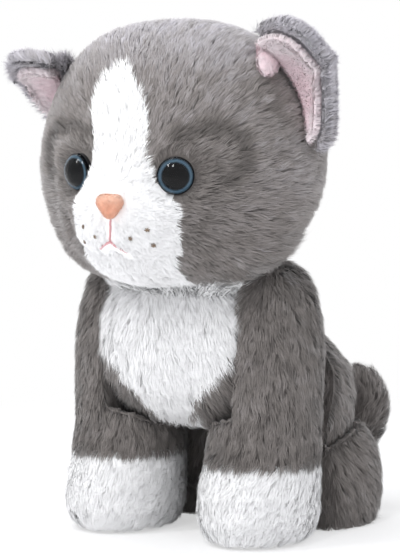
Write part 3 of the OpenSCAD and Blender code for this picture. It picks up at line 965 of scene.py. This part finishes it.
tail_nodes = ["tail_cover", "tail_stuffing"]
tail = furry("tail_fur", skin(tail_nodes, 1.4, 2.2), None, body_tone_and_shade, grey_plush, 41, density=3.4,
             comb=tail_comb, height=same(3.2))
finish_piece(tail, "tail", tail_nodes)

# %% [markdown]
# The sewn-in end of a CAD ear is a round bead, which turns in a groove of the head. Cloth has no such bead,
# so its points are drawn in to the thickness of the leaf before the ear is smoothed. Each ear has a frame of
# its own: across along its root, back away from its cup, and up to its tip.

# %% The ears' own frames
JOINTS = {joint["name"]: joint for joint in frame["joints"]}
EAR_HALF_W, EAR_CUP, EAR_HALF_T = 27.5, 8.0, 2.5
EAR_UP = 0.93  # the leaf's height, less what its pile adds
SKEW = {"left": 0.02, "right": 0.01}  # how much fuller the ear grows towards its upper end, for each mm


def ear_frame(side):
    root = np.array(JOINTS[f"{side}_ear_fold"]["pos_m"]) / MM
    across = unit(np.array(JOINTS[f"{side}_ear_fold"]["axis"]))
    back, lining = (joined([f"{side}_ear_{part}"])[0].mean(0) for part in ("back", "lining"))
    up = back - root
    up = unit(up - (up @ across) * across)
    behind = np.cross(up, across)
    if (lining - back) @ behind > 0:
        across, behind = -across, -behind
    return root, np.stack([across, behind, up], 1)


def ear_shape(side):
    """What turns the points of an ear's CAD nodes into the cloth ear's."""
    root, axes = ear_frame(side)
    upper = math.copysign(1, axes[2, 0])  # the end of the root that stands higher

    def shaped(points):
        local = (points - root) @ axes
        middle = -EAR_CUP * (local[:, 0] / EAR_HALF_W) ** 2
        flat = np.clip(local[:, 1], middle - EAR_HALF_T, middle + EAR_HALF_T)
        local[:, 1] = np.where(local[:, 2] < 4.5, flat, local[:, 1])
        local[:, 2] = np.maximum(local[:, 2], 0.5) * EAR_UP * (1 + SKEW[side] * upper * local[:, 0])
        return local @ axes.T + root

    return shaped


# %% Ears
FINE = dict(width=0.24, tuft=1, gather=0, ripple=0.3)  # the even pile of the ears
LINING_CLEAR = 3.2  # how far the long pile keeps from the lining, in mm
for number, side in enumerate(("left", "right")):
    root, axes = ear_frame(side)

    def ear_comb(points, root=root, axes=axes):
        out = points - root + 12 * axes[:, 2]
        return unit(out - (out @ axes[:, 1])[:, None] * axes[:, 1]) + 1.2 * axes[:, 1]

    def ear_tone_and_light(points, root=root, axes=axes):
        # Painted light: the ear is lighter towards its tip, where light from above falls.
        return 0.86 + 0.1 * mottle(points, 8, 7) + 0.1 * step((points - root) @ axes[:, 2], 5, 24)

    def velboa_tone(points, root=root, axes=axes):
        local = (points - root) @ axes
        rim = np.hypot(local[:, 0] / 22, local[:, 2] / 21)
        return 0.45 + 0.5 * step(rim, 0.45, 1.0) + 0.12 * mottle(points, 5, 8)

    back, lining = f"{side}_ear_back", f"{side}_ear_lining"
    lining_form = skin([lining], 0.7, 0.0, 14, ear_shape(side))
    covered = tree_of(lining_form["points"])

    def bare_of_lining(points, covered=covered):
        return np.array([covered.find(p)[2] > LINING_CLEAR for p in points.tolist()])

    ear = furry(f"{side}_ear_fur", skin([back], 1.0, 0.8, 16, ear_shape(side)), bare_of_lining, ear_tone_and_light,
                grey_plush, 51 + number, density=8, comb=ear_comb, height=same(2.2), lean=66, **FINE)
    finish_piece(ear, f"{side}_ear", [back])
    inner = furry(f"{side}_ear_velboa", lining_form, None, velboa_tone, pink_plush, 53 + number, density=9,
                  comb=ear_comb, height=same(1.2), **FINE)
    finish_piece(inner, f"{side}_ear", [lining])

# %% [markdown]
# The inner corner of the raised ear is folded forward and sewn down on the head, so a small lobe of the pink
# lining shows in front of the ear, with a hollow behind it. It is a padded strip, wide in the middle and
# rounded at its ends, swept over the head from the ear's upper end.

# %% A swept strip, for folds and threads


def ring_faces(count, sides):
    """Triangles between rings of points, closed by the last two points, in the middles of the end rings."""
    faces, last = [], (count - 1) * sides
    for start in range(0, last, sides):
        for i in range(sides):
            a, b = start + i, start + (i + 1) % sides
            faces += [(a, b, b + sides), (a, b + sides, a + sides)]
    for i in range(sides):
        j = (i + 1) % sides
        faces += [(last + sides, j, i), (last + sides + 1, last + i, last + j)]
    return np.array(faces)


def swept(path, across, width, thick, sides=10):
    """A closed form along a path: oval rings, width along across and thick along the third direction."""
    path = np.array(path, float)
    ahead = unit(np.gradient(path, axis=0))
    across = unit(across - (across * ahead).sum(1)[:, None] * ahead)
    up = np.cross(ahead, across)
    angle = 2 * math.pi * np.arange(sides) / sides
    rings = (path[:, None] + np.reshape(width, (-1, 1, 1)) * np.cos(angle)[None, :, None] * across[:, None]
             + np.reshape(thick, (-1, 1, 1)) * np.sin(angle)[None, :, None] * up[:, None])
    return np.concatenate([rings.reshape(-1, 3), path[:1], path[-1:]]), ring_faces(len(path), sides)


def on_head(places, above=0.0):
    """Points of the head's outside below some rough places in its own frame, and the way out there."""
    rough = from_head(np.array(places, float))
    nearest = np.array([np.linalg.norm(head_outer - p, axis=1).argmin() for p in rough])
    out = normals_of(head_outer, head_triangles)[nearest]
    depth = ((rough - head_outer[nearest]) * out).sum(1)[:, None]
    return rough - depth * out + above * out, out


def curve_through(corners, count):
    """Places along a smooth curve through some corners."""
    corners = np.array(corners, float)
    ends = np.concatenate([[2 * corners[0] - corners[1]], corners, [2 * corners[-1] - corners[-2]]])
    places = np.linspace(0, len(corners) - 1 - 1e-6, count)
    made = []
    for place in places:
        i, t = int(place), place - int(place)
        a, b, c, d = ends[i:i + 4]
        made.append(0.5 * (2 * b + (c - a) * t + (2 * a - 5 * b + 4 * c - d) * t ** 2
                           + (3 * b - a - 3 * c + d) * t ** 3))
    return np.array(made)


# %% The folded corner of the raised ear
FOLD = ((38.5, -6, 43), (41, -9, 39.5), (42.6, -13, 35.5), (43.2, -17.5, 30.5))
FOLD_HALF = (4.6, 3.0)  # half its width and half its thickness, in mm
fold_path, fold_out = on_head(curve_through(FOLD, 24), 1.6)
along = np.linspace(0, 1, 24)
plump = np.sqrt(np.clip(1 - np.abs(2 * along - 1) ** 3, 0.02, 1))
across = np.cross(unit(np.gradient(fold_path, axis=0)), fold_out)
points, triangles = swept(fold_path, across, FOLD_HALF[0] * plump, FOLD_HALF[1] * plump, 16)
triangles = facing_out(points, triangles)
fold_form = {"points": points, "triangles": triangles, "normals": normals_of(points, triangles)}
fold = furry("left_ear_fold_velboa", fold_form, None, lambda p: 0.6 + 0.2 * mottle(p, 5, 8), pink_plush, 57,
             density=6, comb=lambda p: np.tile(fold_path[-1] - fold_path[0], (len(p), 1)), height=same(1.1),
             width=0.24, tuft=2.0)
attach(fold, "head")

# %% [markdown]
# ## Eyes and nose
#
# The eyes are safety eyes. A flange and shank are moulded in black polypropylene, the disc on it is printed
# with iris and pupil, and a clear acrylic dome over it gives the wet glint. The shanks and washers of the
# CAD model have the right form, so they stay and only get their materials.

# %% Materials of the eyes


def give(nodes, material):
    for name in nodes:
        node = frame["nodes"][name]
        if not node.material_slots:
            node.data.materials.append(material)
        for place in node.material_slots:
            place.material = material
        node.data.polygons.foreach_set("use_smooth", np.ones(len(node.data.polygons), bool))


GRAIN_DEPTH = 0.05 * MM


def moulded(name, colour, roughness, grain, strength):
    """A moulded plastic: its skin keeps the fine grain of the mould, grain mm across."""
    material, tree, shader = new_material(name)
    height = grains(tree, grain * MM, 3.0)
    relief = add(tree, "Bump", {"Height": height, "Strength": strength, "Distance": GRAIN_DEPTH})
    fill(tree, shader, {"Base Color": paint(colour), "Roughness": roughness,
                        "Normal": relief.outputs["Normal"]})
    return material


STROKES = 14.0  # the scale of the strokes round the ring


def printed_eye(side):
    """Pad-printed ABS: a black pupil in a blue-grey ring of fine radial strokes, with a dark rim."""
    material, tree, shader = new_material(f"printed_abs_eye_{side}")
    middle, axis = EYES[side]
    place = add(tree, "TexCoord").outputs["Object"]
    offset = vectors(tree, "SUBTRACT", place, tuple(middle * MM))
    spoke = vectors(tree, "CROSS_PRODUCT", offset, tuple(axis))
    share = remap(tree, vectors(tree, "LENGTH", spoke, output="Value"), (0.0, EYE_R * MM))
    strokes = {"Vector": vectors(tree, "NORMALIZE", spoke), "Scale": STROKES, "Detail": 3.0}
    wander = remap(tree, add(tree, "TexNoise", strokes).outputs["Fac"], (0.0, 1.0), (-0.03, 0.03))
    stop = maths(tree, "ADD", share, wander)
    colour = ramp(tree, stop, [(0.0, "050506"), (0.63, "08090b"), (0.67, "2c3943"), (0.76, "587386"),
                               (0.84, "435a69"), (0.9, "1e272f"), (0.96, "0c0e11")])
    fill(tree, shader, {"Base Color": colour, "Roughness": 0.4, "Specular IOR Level": 0.0})
    return material


# Cast acrylic: clear and polished. Drawn a little less refracting than it is, so that the white studio shows
# in it as faintly as it does in the photograph.
acrylic, tree, shader = new_material("cast_acrylic_clear")
fill(tree, shader, {"Base Color": paint("f4f8fb"), "Roughness": 0.02, "IOR": 1.3, "Transmission Weight": 1.0})
# Polypropylene is soft-moulded, so even the black one is not quite a mirror.
black_flange = moulded("moulded_polypropylene_black", "101114", 0.28, 0.4, 0.1)
white_washer = moulded("moulded_polyethylene_white", "e6e6e0", 0.5, 0.3, 0.3)
for side in ("left", "right"):
    give([f"{side}_eye_shank"], black_flange)
    give([f"{side}_eye_washer"], white_washer)
give(["nose_washer"], white_washer)

# %% [markdown]
# Iris and pupil are one print on the back of the dome, with no air between, so the disc that carries them
# shines only through the dome's own surface. The dome is turned here from its profile, finer than the CAD
# one, and reaches a little into the disc, so that a ray of light meets the print while it is in the acrylic.

# %% Disc and dome
DISC_TOP = 0.5  # from the middle of the CAD pupil to the disc's top, in mm


def turned(name, profile, side, material, sides=72):
    """A form of revolution about an eye's axis: profile holds (radius, height over the disc's top) in mm."""
    middle, axis = EYES[side]
    across = unit(np.cross(axis, (0.0, 0.0, 1.0)))
    up = np.cross(across, axis)
    angle = 2 * math.pi * np.arange(sides) / sides
    spokes = np.cos(angle)[:, None] * across + np.sin(angle)[:, None] * up
    rings = [middle + (DISC_TOP + height) * axis + radius * spokes for radius, height in profile]
    ends = [middle + (DISC_TOP + profile[i][1]) * axis for i in (0, -1)]
    points = np.concatenate([np.concatenate(rings), ends])
    triangles = facing_out(points, ring_faces(len(profile), sides))
    piece = in_scene(name, as_mesh(name, points, triangles))
    piece.data.materials.append(material)
    return piece


DOME_H, DOME_R = 4.5, 8.5
lens = [(EYE_R - 0.02, -0.05), (EYE_R, 0.1)]
for share in np.linspace(0, 1, 16)[1:-1]:
    height = DOME_H * share
    lens.append((math.sqrt(DOME_R ** 2 - (height + DOME_R - DOME_H) ** 2), height))
lens.append((0.02, DOME_H))
disc = [(EYE_R - 0.05, -1.0), (EYE_R - 0.05, -0.15), (EYE_R - 0.2, 0.0), (EYE_R / 2, 0.0), (0.02, 0.0)]
for side in ("left", "right"):
    dome = turned(f"{side}_eye_lens", lens, side, acrylic)
    finish_piece(dome, "head", [f"{side}_eye_dome"])
    iris = turned(f"{side}_eye_print", disc, side, printed_eye(side))
    finish_piece(iris, "head", [f"{side}_eye_iris", f"{side}_eye_pupil"])
print("domes", DOME_H, "mm high over a disc of", 2 * EYE_R, "mm")

# %% [markdown]
# The nose is moulded and then flocked: short nylon fibres stand in glue all over it, half a millimetre high,
# which gives a soft skin without any gloss. So it is grown like the fur, with straight short fibres.

# %% Flocked nose
NOSE_COLOURS = ("f5a888", "fdc4a8", "ffddc9")
nose_flock = plush("flocked_nylon_coral", NOSE_COLOURS, 0.85, 0.2)


def nose_tone_and_light(points):
    local = in_head(points)
    # Painted light: the nose is paler at its top, where light from above falls on it.
    return 0.35 + 0.55 * step(local[:, 2], -20, -13) + 0.1 * mottle(points, 2, 9)


NOSE_SUNK = -53  # behind this the nose is in the fur, where nothing is flocked
nose_form = skin(["nose"], 0.45, 0.2, 10)
nose = furry("flocked_nose", nose_form, lambda p: in_head(p)[:, 1] < NOSE_SUNK, nose_tone_and_light, nose_flock, 61,
             density=16, comb=lambda p: np.tile((0.0, 0.0, -1.0), (len(p), 1)), height=same(0.45), width=0.14,
             tuft=1.2, lean=35, gather=0.1)
finish_piece(nose, "head", ["nose"])

# %% [markdown]
# ## Mouth and whisker dots
#
# The mouth is embroidery thread, in three lines. Such a thread is twisted from two plies, so each line is
# two thin strands that wind round each other. The whisker dots are small star stitches in brown thread.

# %% Thread
MOUTH_R, PLY_PITCH = 0.3, 1.9  # mm: radius of one ply, and one turn of the twist


def cotton(name, dark, light):
    """Mercerised cotton thread: a soft silky gloss, and hairs along it that break up the colour."""
    material, tree, shader = new_material(name)
    hairs = grains(tree, 0.25 * MM)
    fill(tree, shader, {"Base Color": ramp(tree, hairs, [(0.35, dark), (0.65, light)]), "Roughness": 0.55,
                        "Sheen Weight": 0.3})
    return material


def straight_in(flat, above):
    """Points of the head's outside behind some places (across, up) of its face."""
    local = in_head(head_outer)
    facing = np.flatnonzero(local[:, 1] < 0)
    made = []
    for place in flat:
        far = np.linalg.norm(local[facing][:, [0, 2]] - place, axis=1)
        near = np.argsort(far)[:4]
        weight = 1 / (far[near] + 0.05)
        made.append((place[0], (local[facing[near], 1] * weight).sum() / weight.sum(), place[1]))
    return on_head(made, above)


def two_plies(flat, above):
    """Two strands that wind round a line on the face."""
    path, out = straight_in(flat, above)
    run = np.concatenate([[0], np.cumsum(np.linalg.norm(np.diff(path, axis=0), axis=1))])
    side = unit(np.cross(unit(np.gradient(path, axis=0)), out))
    plies, thick = [], np.full(len(path), MOUTH_R)
    for phase in (0, math.pi):
        angle = (2 * math.pi * run / PLY_PITCH + phase)[:, None]
        twisted = path + MOUTH_R * 0.8 * (side * np.cos(angle) + out * np.sin(angle))
        plies.append(swept(twisted, side, thick, thick, 8))
    return plies


def as_piece(name, parts, material, body):
    piece = in_scene(name, as_mesh(name, *together(parts)))
    piece.data.materials.append(material)
    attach(piece, body)
    print(name, len(piece.data.polygons), "faces")


# %% Mouth
LINES = (  # corners (across, up), the number of places along it, and its height over the fabric in mm
    ((MOUTH_TOP, (-1.5, -29), MOUTH), 40, -0.5),
    ((MOUTH, (-4.8, -34.9), MOUTH_ENDS[0]), 30, -0.2),
    ((MOUTH, (0.8, -35.8), MOUTH_ENDS[1]), 30, -0.2),
)
plies = []
for corners, count, above in LINES:
    plies += two_plies(curve_through(corners, count), above)
as_piece("mouth_thread", plies, cotton("mercerised_cotton_rose", "c98f93", "e2adb0"), "head")

# %% Whisker dots
STAR_REACH, STAR_ARCH, STAR_R, STAR_POINTS = 0.85, 0.35, 0.26, 7  # one stitch of a star, in mm
DOTS = ((14.5, -28.0), (8.0, -31.5), (15.6, -34.3), (-14.5, -28.0), (-8.0, -31.5), (-15.6, -34.3))
brown_thread = cotton("mercerised_cotton_brown", "5c4a3c", "857058")
stitches = []
for dot in DOTS:
    for slant in (10, 70, 130):
        reach = STAR_REACH * np.array([math.cos(math.radians(slant)), math.sin(math.radians(slant))])
        line = np.linspace(np.array(dot) - reach, np.array(dot) + reach, STAR_POINTS)
        path, out = straight_in(line, -0.1)
        path = path + STAR_ARCH * np.sin(np.linspace(0, math.pi, STAR_POINTS))[:, None] * out
        thick = np.full(STAR_POINTS, STAR_R)
        stitches.append(swept(path, np.cross(unit(np.gradient(path, axis=0)), out), thick, thick, 6))
as_piece("whisker_stitches", stitches, brown_thread, "head")

# %% [markdown]
# ## Light and stage
#
# A product photo of a soft toy uses large soft lamps and white surroundings. Two tall softboxes stand high
# to the left of the camera, and leave the two window-like glints in each eye. A third, larger one lights
# the top of the head from behind. The floor is white board. Near the toy it keeps the toy's soft shadow, and
# further out it turns as white to the camera as the background.

# %% Lamps
AIM = Vector((0, -0.03, 0.1))


def softbox(name, azimuth, elevation, distance, wide, tall, watts):
    light = bpy.data.lights.new(name, "AREA")
    light.shape, light.size, light.size_y, light.energy = "RECTANGLE", wide, tall, watts
    made = in_scene(name, light)
    way = seen_from(azimuth, elevation)
    made.location = AIM + distance * way
    made.rotation_euler = (-way).to_track_quat("-Z", "Y").to_euler()


softbox("left_softbox", -31, 50, 1.5, 0.2, 0.45, 6.0)
softbox("middle_softbox", 12, 52, 1.5, 0.15, 0.45, 4.5)
softbox("rear_softbox", -120, 62, 1.6, 0.9, 0.9, 6.0)

# %% World
world = bpy.data.worlds.new("studio")
world.use_nodes = True
bpy.context.scene.world = world
tree = world.node_tree
surroundings = tree.nodes["Background"]
fill(tree, surroundings, {"Color": paint("f7f8fb"), "Strength": 1.04})
backdrop = add(tree, "Background", {"Color": (1, 1, 1, 1), "Strength": 1.0})
rays = add(tree, "LightPath").outputs
seen = maths(tree, "MAXIMUM", rays["Is Camera Ray"], rays["Is Transmission Ray"])
shade = mixed(tree, seen, surroundings.outputs["Background"], backdrop.outputs["Background"])
fill(tree, tree.nodes["World Output"], {"Surface": shade})

# %% Floor
FLOOR, SHADOW_NEAR, SHADOW_FAR = 3.0, 0.10, 0.34  # half its side, and where its shade fades out, in metres
floor = in_scene("floor", bpy.data.meshes.new("floor"))
floor.data.from_pydata([(-FLOOR, -FLOOR, 0), (FLOOR, -FLOOR, 0), (FLOOR, FLOOR, 0), (-FLOOR, FLOOR, 0)], [],
                       [(0, 1, 2, 3)])
BOARD_GRAIN = 1 / 900  # metres
board, tree, shader = new_material("painted_board_white")
flecks = ramp(tree, grains(tree, BOARD_GRAIN), [(0.3, "f4f4f5"), (0.7, "f8f8f9")])
fill(tree, shader, {"Base Color": flecks, "Roughness": 0.8})
from_toy = vectors(tree, "LENGTH", add(tree, "TexCoord").outputs["Object"], output="Value")
clear = remap(tree, from_toy, (SHADOW_NEAR, SHADOW_FAR), (0.55, 1.0), interpolation_type="SMOOTHSTEP")
to_camera = maths(tree, "MULTIPLY", clear, add(tree, "LightPath").outputs["Is Camera Ray"])
glow = add(tree, "Emission", {"Color": (1, 1, 1, 1), "Strength": 1.0}).outputs["Emission"]
fill(tree, tree.nodes["Material Output"], {"Surface": mixed(tree, to_camera, shader.outputs["BSDF"], glow)})
floor.data.materials.append(board)
bpy.context.scene.view_settings.view_transform = "Standard"
